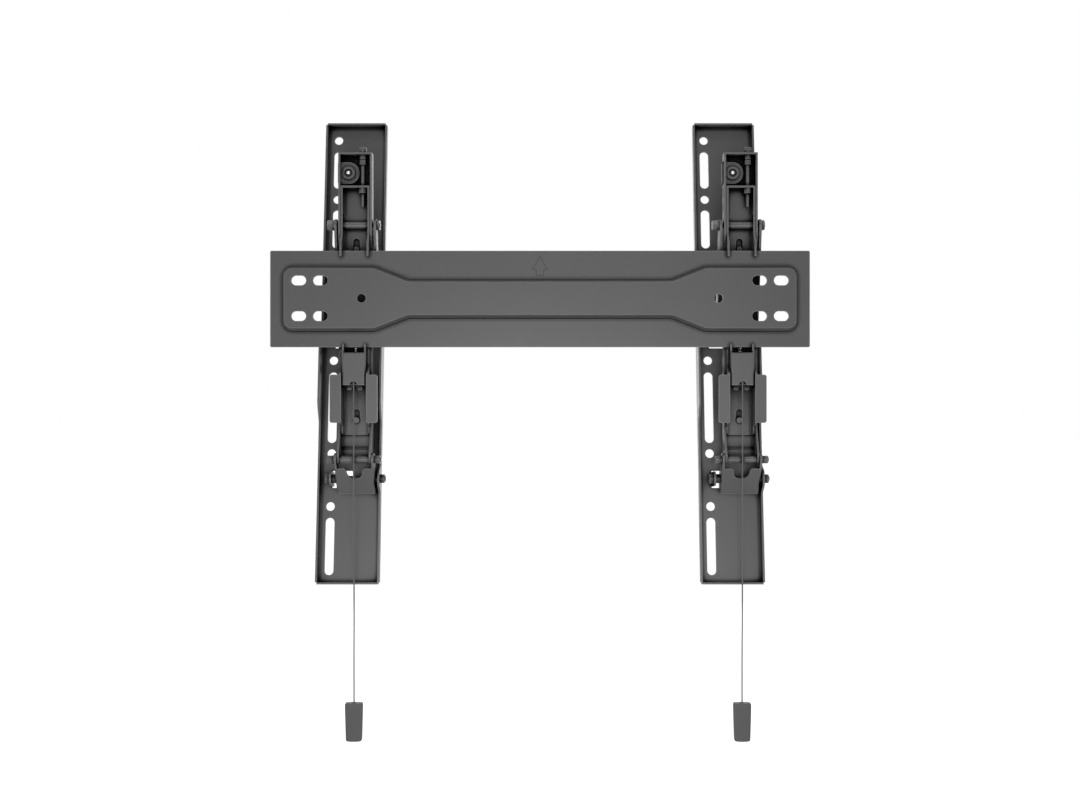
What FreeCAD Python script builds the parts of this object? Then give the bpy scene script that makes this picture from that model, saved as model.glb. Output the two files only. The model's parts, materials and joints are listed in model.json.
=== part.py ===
"""Tilting TV wall bracket: one wall plate, and two identical arms that hook over it.

Frame, in mm: the origin is the middle of the wall plate on the wall plane, +Y points from
the wall towards the screen, +X to the right for someone whose back is to the wall's
surface, and +Z is up. The rails stand at the tilt at which the bracket is pictured.
"""
import FreeCAD, Part
import math
import os

V = FreeCAD.Vector

# Wall plate: a flat sheet with a raised, waisted field that touches the wall
PLATE_LENGTH = 558.0
PLATE_HEIGHT = 99.7
PLATE_SHEET = 2.5
PLATE_STAND_OFF = 8.0
PLATE_CORNER = 1.5
FIELD_HALF_LENGTH = 264.9
FIELD_HALF_HEIGHT = 32.4
FIELD_CORNER = 9.5
FIELD_TAPER_OUT = 170.7
FIELD_TAPER_IN = 135.7
FIELD_WAIST = 18.75
FIELD_BLEND = 14.0
RAMP_WIDTH = 3.5
WALL_SLOT_LENGTH = 15.2
WALL_SLOT_WIDTH = 10.0
WALL_SLOT_OUTER_X = 247.9
WALL_SLOT_INNER_X = 225.7
WALL_SLOT_Z = 18.3
PLATE_HOLE_X = 183.5
PLATE_HOLE_R = 4.5

# Pitch of the screen's holes, across and down; the arms are hung to suit it
SCREEN_HOLE_PITCH = 400.0

# Running clearances between pieces that slide or turn on each other
RUN = 0.1
SLIDE = 0.5
FACE = 0.2
PRESSED = 0.02
CHANNEL_GAP = 0.55
WEB_GAP = 0.4
LINK_GAP = 0.65

# Hook channel, the inner channel that hangs on the plate
ARM_SHEET = 2.0
BEND_R = 2.6
HOOK_WIDTH = 29.8
HOOK_TOP = 117.8
HOOK_BOTTOM = -140.7
HOOK_WEB_Y = 21.0
HOOK_EDGE_Y = 10.7
HOOK_NOSE_Y = 4.0
HOOK_TIP_DROP = 6.4
HOOK_SHOULDER_RISE = 17.4
HOOK_NOSE_RISE = 9.7
WING_TOP = -78.4
WING_BOTTOM = -128.0
WING_REACH = 24.6
WING_SHEET = 1.6
WING_Y = 0.6
WING_CORNER = 2.5
HOOK_FOOT_EDGE_Y = 14.0
HOOK_FOOT_SLOPE = 3.0
HOOK_WALL_RISE = 10.0

# Hanger, the outer channel that carries the screen side; it rises on the level bolt
HANGER_TOP = 152.3
HANGER_FOOT = -162.5
HANGER_EDGE_Y = 10.7
HANGER_RECESS_Y = 13.5
HANGER_RECESS_TOP = 62.0
HANGER_FLARE_TOP = -132.0
HANGER_JOGGLE_Z = -153.0
HANGER_JOGGLE = 3.0
HANGER_LOBE_R = 4.9
LEVEL_TRAVEL = 8.0
GUIDE_SLOT_WIDTH = 7.0
GUIDE_RIVET_R = 2.6
GUIDE_HEAD_R = 3.4
GUIDE_HEAD_HEIGHT = 1.4
GUIDE_UPPER_Z = 52.8
GUIDE_LOWER_Z = -125.5
TONGUE_WINDOW_BOTTOM = 119.6
TONGUE_WINDOW_TOP = 144.6
TONGUE_WINDOW_Y = 13.6

# Level bolt, its two collars and its nut
LEVEL_X = 7.6
LEVEL_Y = 15.0
LEVEL_SHANK_R = 1.95
LEVEL_END = 96.0
LEVEL_HEAD_FLATS = 7.6
LEVEL_HEAD_HEIGHT = 5.4
COLLAR_FLATS = 6.2
COLLAR_HEIGHT = 4.7
COLLAR_GAP = 0.7
LEVEL_NUT_FLATS = 7.8
LEVEL_NUT_HEIGHT = 5.6

# Tongue plate held by a stud in the hanger's upper window
TONGUE_X = -7.7
TONGUE_Z = 132.1
TONGUE_R = 11.3
TONGUE_Y = 17.6
TONGUE_SHEET = 2.0
TONGUE_OVERHANG = 1.6
TONGUE_NUT_R = 7.2
TONGUE_NUT_HEIGHT = 1.8
TONGUE_CUP_R = 4.4
STUD_R = 2.2
STUD_DOME_R = 2.5

# Tilt linkage pivots (Y, Z) at rest
UPPER_PIVOT = (16.8, 77.4)
LOWER_PIVOT = (7.0, -165.9)
RAIL_PIVOT_U = 371.5
LINK_PIVOT_U = 222.1
PIVOT_DEPTH = 13.0
SLEEVE_R = 3.75
SHANK_R = 2.9
LINK_SHEET = 2.5
LINK_END_R = 6.4
LINK_SPACE = 1.8
RIVET_R = 3.0
OPEN_PIVOT_GAP = 0.9
RIVET_HEAD_R = 5.4
RIVET_HEAD = 1.1
RIVET_COLLAR_R = 4.9
LARGE_FLATS = 10.0
SMALL_FLATS = 8.0

# Lower link, a folded U with its web to the wall
LOWER_LINK_SHEET = 2.4
LOWER_LINK_WEB = 7.6
LOWER_LINK_TOP = 6.4
LOWER_LINK_LENGTH = 32.0
LOWER_LINK_END_R = 6.6
NOTCH_WIDTH = 16.5
NOTCH_DEPTH = 12.5

# Screen rail, a shallow folded channel that leans by the pictured tilt
TILT = 7.45
RAIL_WIDTH = 66.5
RAIL_SHEET = 2.0
RAIL_BEND_R = 2.4
RAIL_FLANGE = 8.8
RAIL_TOP_HOLE = (80.6, 180.2)
RAIL_TOP_MARGIN = 16.7
RAIL_BOTTOM_MARGIN = 80.9
RAIL_END_RELIEF = 1.6
RAIL_HOLE_EDGE = 12.75
RAIL_HOLE_R = 4.5
RAIL_SLOT_WIDTH = 9.3
RAIL_HOLES = (0.0, 66.7, 133.4, 244.5, 344.1, SCREEN_HOLE_PITCH)
RAIL_SLOTS = ((12.8, 54.1), (78.6, 121.1), (145.6, 209.5), (257.2, 332.8), (412.0, 471.3))
EAR_DEPTH = 20.3
EAR_TOP = 206.0
EAR_FULL = 216.0
EAR_SOFT = 293.0
EAR_END = 312.0
PIVOT_EAR_R = 7.5
PIVOT_EAR_FOOT = 14.0
EAR_SPACER = 2.25
LUG_SPACER = 4.6
LUG_WINDOW_WIDTH = 21.5
LUG_WINDOW_HEIGHT = 18.0
LUG_HALF = 7.5

# Latch that grips the plate's lower edge, with its spring, pins, cord and handle
LATCH_GAP = 0.9
LATCH_SHEET = 1.5
LATCH_TOP = -57.1
LATCH_BOTTOM = -89.2
LATCH_Y = 0.6
LATCH_DEPTH = 17.0
LATCH_HOOK_RISE = 3.5
LATCH_TRAVEL = 6.0
LATCH_PIN_R = 1.6
LATCH_PIN_ZS = (-68.0, -83.5)
LATCH_PIN_Y = 13.0
LATCH_ARCH_R = 4.0
LIP_HALF_WIDTH = 8.0
LIP_Y = 8.2
LIP_BOTTOM = -94.2
SPRING_R = 2.6
SPRING_WIRE_R = 0.4
SPRING_TURNS = 11
SPRING_Y = 16.0
SPRING_TOP = -26.0
SPRING_SHELF_Z = -59.6
CORD_R = 0.75
CORD_Y = 2.0
CORD_LEAN_FROM = -190.0
CORD_END = -417.5
KNOT_R = 1.5
HANDLE_TOP = -416.5
HANDLE_LENGTH = 39.8
HANDLE_TOP_WIDTH = 18.4
HANDLE_BOTTOM_WIDTH = 16.8
HANDLE_TOP_DEPTH = 8.4
HANDLE_BOTTOM_DEPTH = 7.0
HANDLE_Y = 4.6
HANDLE_EDGE = 1.8

# Sizes that follow from the ones above
PLATE_TOP = PLATE_HEIGHT / 2
PLATE_FRONT = PLATE_STAND_OFF
PLATE_BACK = PLATE_STAND_OFF + PLATE_SHEET
HOOK_WEB_BACK = HOOK_WEB_Y + ARM_SHEET
HANGER_WEB_Y = HOOK_WEB_BACK + WEB_GAP
HANGER_WEB_BACK = HANGER_WEB_Y + ARM_SHEET
LATCH_WIDTH = HOOK_WIDTH - 2 * (ARM_SHEET + LATCH_GAP)
HANGER_INNER = HOOK_WIDTH / 2 + CHANNEL_GAP
HANGER_WIDTH = 2 * (HANGER_INNER + ARM_SHEET)
LOWER_LINK_WIDTH = HANGER_WIDTH + 2 * (LINK_GAP + LOWER_LINK_SHEET)
LINK_X = HANGER_WIDTH / 2 + LINK_SPACE
EAR_X = LOWER_LINK_WIDTH / 2 + FACE + EAR_SPACER
RAIL_OFFSET = EAR_X + RAIL_SHEET - RAIL_WIDTH / 2
RAIL_HOLE_X = RAIL_HOLE_EDGE - RAIL_WIDTH / 2
LUG_X = -LOWER_LINK_WIDTH / 2 - FACE - LUG_SPACER - RAIL_SHEET - RAIL_OFFSET
LEFT_ARM_X = -SCREEN_HOLE_PITCH / 2 - RAIL_OFFSET
SIN, COS = math.sin(math.radians(TILT)), math.cos(math.radians(TILT))


# Plane outlines. A corner is (a, b) or (a, b, radius); u, v and w name the plane's axes.

def rounded(corners):
    """Lines and tangent arcs through the corners of a closed polygon, as point lists."""
    count = len(corners)
    spans = []
    for i, corner in enumerate(corners):
        a, b = corner[:2]
        r = corner[2] if len(corner) > 2 else 0.0
        before, after = corners[i - 1], corners[(i + 1) % count]
        back = math.atan2(before[1] - b, before[0] - a)
        ahead = math.atan2(after[1] - b, after[0] - a)
        half = abs((ahead - back + math.pi) % (2 * math.pi) - math.pi) / 2
        if r <= 0 or abs(half - math.pi / 2) < 1e-6:
            spans.append(((a, b),))
            continue
        reach = r / math.tan(half)
        first = (a + reach * math.cos(back), b + reach * math.sin(back))
        last = (a + reach * math.cos(ahead), b + reach * math.sin(ahead))
        away = r / math.sin(half) - r
        bisector = math.atan2(math.sin(back) + math.sin(ahead), math.cos(back) + math.cos(ahead))
        middle = (a + away * math.cos(bisector), b + away * math.sin(bisector))
        spans.append((first, middle, last))
    return spans


def wire(corners, place):
    """A closed wire through rounded corners; place turns (a, b) into a point in space."""
    spans = rounded(corners)
    edges = []
    for i, span in enumerate(spans):
        if len(span) == 3:
            edges.append(Part.Arc(*(place(*p) for p in span)).toShape())
        start, end = place(*span[-1]), place(*spans[(i + 1) % len(spans)][0])
        if start.distanceToPoint(end) > 1e-7:
            edges.append(Part.LineSegment(start, end).toShape())
    return Part.Wire(edges)


def plate_xz(corners, y_low, y_high):
    """A flat piece seen from the wall: corners are (x, z)."""
    face = Part.Face(wire(corners, lambda x, z: V(x, y_low, z)))
    return face.extrude(V(0, y_high - y_low, 0))


def plate_yz(corners, x_low, x_high):
    """A flat piece seen from the side: corners are (y, z)."""
    face = Part.Face(wire(corners, lambda y, z: V(x_low, y, z)))
    return face.extrude(V(x_high - x_low, 0, 0))


def plate_xy(corners, z_low, z_high):
    """A flat piece seen from above: corners are (x, y)."""
    face = Part.Face(wire(corners, lambda x, y: V(x, y, z_low)))
    return face.extrude(V(0, 0, z_high - z_low))


def box(x_low, x_high, y_low, y_high, z_low, z_high):
    return Part.makeBox(x_high - x_low, y_high - y_low, z_high - z_low, V(x_low, y_low, z_low))


def rod_x(x_low, x_high, y, z, r):
    return Part.makeCylinder(r, x_high - x_low, V(x_low, y, z), V(1, 0, 0))


def rod_y(y_low, y_high, x, z, r):
    return Part.makeCylinder(r, y_high - y_low, V(x, y_low, z), V(0, 1, 0))


def rod_z(z_low, z_high, x, y, r):
    return Part.makeCylinder(r, z_high - z_low, V(x, y, z_low), V(0, 0, 1))


def hexagon(flats, direction, base, height):
    """A hexagonal prism, flats wide across its flats, that starts at base."""
    corner = flats / math.sqrt(3)
    points = [V(corner * math.cos(math.radians(a)), corner * math.sin(math.radians(a)), 0)
              for a in range(30, 391, 60)]
    prism = Part.Face(Part.makePolygon(points)).extrude(V(0, 0, height))
    prism.Placement = FreeCAD.Placement(base, FreeCAD.Rotation(V(0, 0, 1), direction))
    return prism


def hex_x(flats, x_low, x_high, y, z):
    """A hexagonal nut or head along X, with the chamfered corners of a turned blank."""
    blank = hexagon(flats, V(1, 0, 0), V(x_low, y, z), x_high - x_low)
    crown = flats * 0.56
    side = crown - flats / 2 + 0.25
    turned = rod_x(x_low, x_high, y, z, crown)
    return blank.common(turned.makeChamfer(side * 0.6, turned.Edges[:1] + turned.Edges[2:]))


def hex_z(flats, z_low, z_high, x, y):
    """A hexagonal nut or head along Z, with chamfered corners."""
    blank = hexagon(flats, V(0, 0, 1), V(x, y, z_low), z_high - z_low)
    crown = flats * 0.56
    side = crown - flats / 2 + 0.25
    turned = rod_z(z_low, z_high, x, y, crown)
    return blank.common(turned.makeChamfer(side * 0.6, turned.Edges[:1] + turned.Edges[2:]))


def slot_y(x, z_low, z_high, width, y_low, y_high):
    """A cutter for an upright round-ended slot through a web; z_low and z_high are its ends."""
    r = width / 2
    return plate_xz([(x - r, z_low, r), (x + r, z_low, r), (x + r, z_high, r), (x - r, z_high, r)],
                    y_low, y_high)


def channel(width, sheet, bend, web_y, edge_y, z_low, z_high):
    """A U channel along Z: web between web_y and web_y + sheet, walls back to edge_y."""
    half, back = width / 2, web_y + sheet
    inner = half - sheet
    corners = [(-half, edge_y), (-half, back, bend), (half, back, bend), (half, edge_y),
               (inner, edge_y), (inner, web_y, bend - sheet + 0.01),
               (-inner, web_y, bend - sheet + 0.01), (-inner, edge_y)]
    return plate_xy(corners, z_low, z_high)


# Wall plate

def offset_field(grow):
    """Corners of the raised field, each side moved outwards by grow."""
    length, height = FIELD_HALF_LENGTH + grow, FIELD_HALF_HEIGHT + grow
    waist = FIELD_WAIST + grow
    slope = math.atan2(FIELD_HALF_HEIGHT - FIELD_WAIST, FIELD_TAPER_OUT - FIELD_TAPER_IN)
    shift = grow * math.tan(slope / 2)
    taper_out, taper_in = FIELD_TAPER_OUT - shift, FIELD_TAPER_IN - shift
    quarter = [(length, height, FIELD_CORNER + grow), (taper_out, height, FIELD_BLEND + grow),
               (taper_in, waist, FIELD_BLEND - grow)]
    left = [(-x, z, r) for x, z, r in reversed(quarter)]
    below = [(-x, -z, r) for x, z, r in quarter + left]
    return quarter + left + below


def field_loft(low_grow, low_y, high_grow, high_y):
    """The solid under one skin of the raised field, from low_y to high_y."""
    wires = [wire(offset_field(grow), lambda x, z, y=y: V(x, y, z))
             for grow, y in ((low_grow, low_y), (high_grow, high_y))]
    return Part.makeLoft(wires, True, True)


def wall_plate():
    half = PLATE_LENGTH / 2
    corners = [(half, PLATE_TOP, PLATE_CORNER), (-half, PLATE_TOP, PLATE_CORNER),
               (-half, -PLATE_TOP, PLATE_CORNER), (half, -PLATE_TOP, PLATE_CORNER)]
    sheet = plate_xz(corners, PLATE_FRONT, PLATE_BACK)
    per_mm = RAMP_WIDTH / PLATE_STAND_OFF
    skin = PLATE_SHEET * math.sqrt(1 + per_mm ** 2)
    back_grow = PLATE_SHEET * per_mm - skin
    outside = field_loft(-RAMP_WIDTH / 2, 0.0, RAMP_WIDTH / 2, PLATE_FRONT)
    inside = field_loft(-RAMP_WIDTH / 2 + back_grow, PLATE_SHEET, RAMP_WIDTH / 2 + back_grow, PLATE_BACK)
    body = sheet.fuse(outside).cut(inside)
    for x in (WALL_SLOT_OUTER_X, WALL_SLOT_INNER_X):
        for side in (-1, 1):
            for z in (-WALL_SLOT_Z, WALL_SLOT_Z):
                body = body.cut(wall_slot(side * x, z))
    for side in (-1, 1):
        body = body.cut(rod_y(-1, PLATE_SHEET + 1, side * PLATE_HOLE_X, 0, PLATE_HOLE_R))
    return body.removeSplitter()


def wall_slot(x, z):
    """Cutter for one of the slots that take the wall screws."""
    half, r = WALL_SLOT_LENGTH / 2, WALL_SLOT_WIDTH / 2
    return plate_xz([(x - half, z - r, r), (x + half, z - r, r), (x + half, z + r, r),
                     (x - half, z + r, r)], -1, PLATE_SHEET + 1)


# Hook channel

def hook_side():
    """Side outline of the hook channel's walls, (y, z), from its top down its wall edge."""
    back = HOOK_WEB_BACK + 1
    tip = PLATE_TOP - HOOK_TIP_DROP
    seat = PLATE_TOP + RUN
    behind = PLATE_BACK + SLIDE
    fold = WING_Y
    return [(back, HOOK_TOP), (HOOK_EDGE_Y, HOOK_TOP),
            (HOOK_EDGE_Y, PLATE_TOP + HOOK_SHOULDER_RISE, 4), (HOOK_NOSE_Y, PLATE_TOP + HOOK_NOSE_RISE, 3),
            (HOOK_NOSE_Y, tip, 1.2), (PLATE_FRONT - SLIDE, tip, 0.6), (PLATE_FRONT - SLIDE, seat),
            (behind, seat), (behind, WING_TOP + HOOK_WALL_RISE, 3), (fold, WING_TOP + 1.5, 1),
            (fold, WING_BOTTOM, 1), (HOOK_FOOT_EDGE_Y, WING_BOTTOM - HOOK_FOOT_SLOPE, 3),
            (HOOK_FOOT_EDGE_Y, HOOK_BOTTOM, 2), (back, HOOK_BOTTOM)]


def hook_channel():
    body = channel(HOOK_WIDTH, ARM_SHEET, BEND_R, HOOK_WEB_Y, WING_Y, HOOK_BOTTOM, HOOK_TOP)
    body = body.common(plate_yz(hook_side(), -HOOK_WIDTH, HOOK_WIDTH))
    inner = HOOK_WIDTH / 2 - ARM_SHEET
    body = body.fuse(box(-inner, inner, HOOK_EDGE_Y, HOOK_WEB_Y + 0.5, HOOK_TOP - ARM_SHEET, HOOK_TOP))
    for side in (-1, 1):
        body = body.fuse(wing(side))
    body = body.cut(rod_z(HOOK_TOP - 5, HOOK_TOP + 1, LEVEL_X, LEVEL_Y, LEVEL_SHANK_R + 0.3))
    for z in (GUIDE_UPPER_Z, GUIDE_LOWER_Z):
        r = GUIDE_SLOT_WIDTH / 2
        body = body.cut(slot_y(0, z - r, z + LEVEL_TRAVEL + r, GUIDE_SLOT_WIDTH,
                               HOOK_WEB_Y - 1, HOOK_WEB_BACK + 1))
    body = body.cut(level_slots())
    for z in LATCH_PIN_ZS:
        body = body.cut(rod_x(-HOOK_WIDTH, HOOK_WIDTH, LATCH_PIN_Y, z, LATCH_PIN_R + PRESSED))
    return body.fuse(spring_hanger()).removeSplitter()


def wing(side):
    """A flap folded outwards along the wall, below the plate."""
    wall = HOOK_WIDTH / 2 - 0.8
    corners = [(side * wall, WING_TOP), (side * WING_REACH, WING_TOP, WING_CORNER),
               (side * WING_REACH, WING_BOTTOM, WING_CORNER), (side * wall, WING_BOTTOM)]
    return plate_xz(corners, WING_Y, WING_Y + WING_SHEET)


def level_slots():
    """Cutter through both walls that lets the upper pivot rise with the hanger."""
    y, z = UPPER_PIVOT
    r = SLEEVE_R + 0.35
    corners = [(y - r, z - r, r), (y + r, z - r, r), (y + r, z + LEVEL_TRAVEL + r, r),
               (y - r, z + LEVEL_TRAVEL + r, r)]
    return plate_yz(corners, -HOOK_WIDTH, HOOK_WIDTH)


def spring_hanger():
    """A small tab lanced out of the web, with a hole for the latch spring's upper loop."""
    z = SPRING_TOP + SPRING_R
    tab = plate_yz([(HOOK_WEB_Y + 0.5, z - 3.2), (HOOK_WEB_Y + 0.5, z + 3.2),
                    (SPRING_Y - 2.2, z + 3.2, 2.5), (SPRING_Y - 2.2, z - 3.2, 2.5)], -0.75, 0.75)
    return tab.cut(rod_x(-2, 2, SPRING_Y, z, SPRING_WIRE_R + 0.35))


# Hanger

def hanger_side():
    """Side outline of the hanger's walls, (y, z), down the wall edge to the lower pivot."""
    back = HANGER_WEB_BACK + 1
    y, z = LOWER_PIVOT
    r = HANGER_LOBE_R
    return [(back, HANGER_TOP), (HANGER_EDGE_Y, HANGER_TOP), (HANGER_EDGE_Y, HANGER_RECESS_TOP, 5),
            (HANGER_RECESS_Y, HANGER_RECESS_TOP - 6, 5), (HANGER_RECESS_Y, HANGER_FLARE_TOP, 8),
            (y - r, z + r + 1.5, 6), (y - r, z - r, r), (y + r, z - r, r),
            (HANGER_WEB_BACK - HANGER_JOGGLE, HANGER_FOOT, 3), (back, HANGER_FOOT)]


def hanger():
    foot = LOWER_PIVOT[1] - HANGER_LOBE_R - 1
    edge = LOWER_PIVOT[0] - HANGER_LOBE_R - 1
    body = channel(HANGER_WIDTH, ARM_SHEET, BEND_R, HANGER_WEB_Y, edge, foot, HANGER_TOP)
    body = body.common(plate_yz(hanger_side(), -HANGER_WIDTH, HANGER_WIDTH))
    body = joggle(body)
    body = body.fuse(box(-HANGER_INNER, HANGER_INNER, HANGER_EDGE_Y, HANGER_WEB_Y + 0.5,
                         HANGER_TOP - ARM_SHEET, HANGER_TOP))
    body = body.cut(rod_z(HANGER_TOP - 5, HANGER_TOP + 1, LEVEL_X, LEVEL_Y, LEVEL_SHANK_R + RUN))
    body = body.cut(rod_x(-HANGER_WIDTH, HANGER_WIDTH, *UPPER_PIVOT, SHANK_R + RUN))
    body = body.cut(rod_x(-HANGER_WIDTH, HANGER_WIDTH, *LOWER_PIVOT, SHANK_R + RUN))
    body = body.cut(plate_yz([(TONGUE_WINDOW_Y, TONGUE_WINDOW_BOTTOM, 2), (TONGUE_WINDOW_Y, TONGUE_WINDOW_TOP, 2),
                              (HANGER_WEB_BACK - BEND_R - 0.4, TONGUE_WINDOW_TOP, 1),
                              (HANGER_WEB_BACK - BEND_R - 0.4, TONGUE_WINDOW_BOTTOM, 1)],
                             -HANGER_WIDTH, -HANGER_INNER + 0.5))
    for z in (GUIDE_UPPER_Z, GUIDE_LOWER_Z):
        body = body.cut(rod_y(HANGER_WEB_Y - 1, HANGER_WEB_BACK + 1, 0, z, GUIDE_RIVET_R))
    body = body.cut(rod_y(HANGER_WEB_Y - 1, HANGER_WEB_BACK + 1, TONGUE_X, TONGUE_Z, STUD_R))
    return body.removeSplitter()


def joggle(body):
    """Sets the foot of the web back towards the wall, to leave room for the rail."""
    drop = HANGER_JOGGLE * 1.3
    reach = HANGER_WEB_BACK + 2
    foot = HANGER_FOOT - HANGER_JOGGLE
    outside = [(HANGER_WEB_BACK, HANGER_JOGGLE_Z), (HANGER_WEB_BACK - HANGER_JOGGLE, HANGER_JOGGLE_Z - drop),
               (HANGER_WEB_BACK - HANGER_JOGGLE, foot), (reach, foot), (reach, HANGER_JOGGLE_Z)]
    body = body.cut(plate_yz(outside, -HANGER_WIDTH, HANGER_WIDTH))
    step = [(HANGER_WEB_Y, HANGER_JOGGLE_Z), (HANGER_WEB_BACK, HANGER_JOGGLE_Z),
            (HANGER_WEB_BACK - HANGER_JOGGLE, HANGER_JOGGLE_Z - drop),
            (HANGER_WEB_BACK - HANGER_JOGGLE, HANGER_FOOT), (HANGER_WEB_Y - HANGER_JOGGLE, HANGER_FOOT),
            (HANGER_WEB_Y - HANGER_JOGGLE, HANGER_JOGGLE_Z - drop)]
    return body.fuse(plate_yz(step, -HANGER_INNER - 0.5, HANGER_INNER + 0.5))


def guide_rivets():
    """Rivets of the hanger's web that run in the hook channel's two slots."""
    front = HOOK_WEB_Y - FACE
    solids = []
    for z in (GUIDE_UPPER_Z, GUIDE_LOWER_Z):
        head = rod_y(front - GUIDE_HEAD_HEIGHT, front, 0, z, GUIDE_HEAD_R)
        head = head.makeChamfer(0.6, [head.Edges[2]] if head.Edges[2].BoundBox.YMin < front - 1 else
                                [head.Edges[0]])
        solids.append(head.fuse(rod_y(front, HANGER_WEB_BACK + 0.6, 0, z, GUIDE_RIVET_R)))
    return Part.makeCompound(solids)


# Level bolt

def level_bolt():
    head = hex_z(LEVEL_HEAD_FLATS, HANGER_TOP, HANGER_TOP + LEVEL_HEAD_HEIGHT, LEVEL_X, LEVEL_Y)
    shank = rod_z(LEVEL_END, HANGER_TOP, LEVEL_X, LEVEL_Y, LEVEL_SHANK_R)
    tip = [e for e in shank.Edges if e.BoundBox.ZMax < LEVEL_END + 0.01]
    return head.fuse(shank.makeChamfer(0.5, tip)).removeSplitter()


def level_collars():
    """Two collars fixed on the bolt under the hanger's top flange."""
    solids = []
    top = HANGER_TOP - ARM_SHEET - FACE
    for _ in range(2):
        collar = hex_z(COLLAR_FLATS, top - COLLAR_HEIGHT, top, LEVEL_X, LEVEL_Y)
        solids.append(collar.cut(rod_z(top - COLLAR_HEIGHT - 1, top + 1, LEVEL_X, LEVEL_Y,
                                       LEVEL_SHANK_R + PRESSED)))
        top -= COLLAR_HEIGHT + COLLAR_GAP
    return Part.makeCompound(solids)


def level_nut():
    top = HOOK_TOP - ARM_SHEET
    nut = hex_z(LEVEL_NUT_FLATS, top - LEVEL_NUT_HEIGHT, top, LEVEL_X, LEVEL_Y)
    return nut.cut(rod_z(top - LEVEL_NUT_HEIGHT - 1, top + 1, LEVEL_X, LEVEL_Y, LEVEL_SHANK_R + RUN))


# Tongue plate

def tongue_plate():
    left = -HANGER_WIDTH / 2 - TONGUE_OVERHANG
    right = TONGUE_X + TONGUE_R
    low, high = TONGUE_Z - TONGUE_R, TONGUE_Z + TONGUE_R
    corners = [(left, low, 2), (right, low, TONGUE_R - 0.01), (right, high, TONGUE_R - 0.01), (left, high, 2)]
    body = plate_xz(corners, TONGUE_Y, TONGUE_Y + TONGUE_SHEET)
    return body.cut(rod_y(TONGUE_Y - 1, TONGUE_Y + 4, TONGUE_X, TONGUE_Z, STUD_R + PRESSED))


def tongue_nut():
    """A round cup nut on the stud, dished in the middle."""
    front = TONGUE_Y - TONGUE_NUT_HEIGHT
    nut = rod_y(front, TONGUE_Y, TONGUE_X, TONGUE_Z, TONGUE_NUT_R)
    nut = nut.makeChamfer(0.7, [e for e in nut.Edges if e.BoundBox.YMax < front + 0.01])
    nut = nut.cut(rod_y(front - 1, front + 0.9, TONGUE_X, TONGUE_Z, TONGUE_CUP_R))
    return nut.cut(rod_y(front - 1, TONGUE_Y + 1, TONGUE_X, TONGUE_Z, STUD_R + PRESSED))


def tongue_stud():
    """A stud riveted in the hanger's web, with a domed end and a shoulder behind the tongue."""
    front = TONGUE_Y - TONGUE_NUT_HEIGHT - 0.4
    shank = rod_y(front, HANGER_WEB_BACK + 0.5, TONGUE_X, TONGUE_Z, STUD_R)
    shoulder = rod_y(TONGUE_Y + TONGUE_SHEET, HANGER_WEB_Y, TONGUE_X, TONGUE_Z, STUD_R + 2)
    ball = Part.makeSphere(STUD_DOME_R, V(TONGUE_X, front + 0.9, TONGUE_Z))
    dome = ball.common(rod_y(front - 3, front, TONGUE_X, TONGUE_Z, STUD_R))
    return shank.fuse(shoulder).fuse(dome).removeSplitter()


# Pivots of the tilt linkage. Heads are on the -X side of an arm and nuts on the +X side.

def pivot_bolt(pivot, flats, head_end, head_seat, shank_end):
    y, z = pivot
    flange = rod_x(head_seat - 1.4, head_seat, y, z, flats * 0.56)
    body = hex_x(flats, head_end, head_seat - 1.4, y, z).fuse(flange)
    shank = rod_x(head_seat, shank_end, y, z, SHANK_R)
    tip = [e for e in shank.Edges if e.BoundBox.XMin > shank_end - 0.01]
    return body.fuse(shank.makeChamfer(0.6, tip)).removeSplitter()


def pivot_nut(pivot, flats, seat, end):
    y, z = pivot
    return hex_x(flats, seat, end, y, z).cut(rod_x(seat - 1, end + 1, y, z, SHANK_R + PRESSED))


def tube_x(x_low, x_high, pivot, outer, inner):
    return rod_x(x_low, x_high, *pivot, outer).cut(rod_x(x_low - 1, x_high + 1, *pivot, inner))


def link_outer():
    """Distance from an arm's middle to the outer face of its upper links."""
    return LINK_X + LINK_SHEET


def upper_pivot_bolt():
    seat = -link_outer() - FACE
    return pivot_bolt(UPPER_PIVOT, LARGE_FLATS, seat - 7.2, seat, -seat + 3.8)


def upper_pivot_nut():
    seat = link_outer() + FACE
    return pivot_nut(UPPER_PIVOT, LARGE_FLATS, seat, seat + 3.2)


def upper_pivot_sleeve():
    half = HANGER_INNER - 0.05
    return tube_x(-half, half, UPPER_PIVOT, SLEEVE_R, SHANK_R + RUN)


def lower_pivot_bolt():
    seat = -LOWER_LINK_WIDTH / 2 - FACE
    return pivot_bolt(LOWER_PIVOT, SMALL_FLATS, seat - 7.0, seat, -seat + 7.1)


def lower_pivot_nut():
    seat = LOWER_LINK_WIDTH / 2 + FACE
    return pivot_nut(LOWER_PIVOT, SMALL_FLATS, seat, seat + 6.2)


def lower_pivot_sleeve():
    half = HANGER_INNER - 0.05
    return tube_x(-half, half, LOWER_PIVOT, SLEEVE_R, SHANK_R + RUN)


# Screen rail. Its own axes: x across, w square to the web towards the screen, s up the rail.

def rail_point(x, w, s):
    """A point of the rail in the arm's frame."""
    y, z = RAIL_TOP_HOLE
    return V(RAIL_OFFSET + x, y + s * SIN + w * COS, z + s * COS - w * SIN)


def rail_pivot(u):
    """Where a pivot that lies u below the top hole stands, as (y, z)."""
    point = rail_point(0, -PIVOT_DEPTH, -u)
    return (point.y, point.z)


def lean(body):
    """Moves a body from the rail's own axes to the arm's frame."""
    y, z = RAIL_TOP_HOLE
    turn = FreeCAD.Rotation(V(1, 0, 0), -TILT)
    body.Placement = FreeCAD.Placement(V(RAIL_OFFSET, y, z), turn).multiply(body.Placement)
    return body


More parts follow.
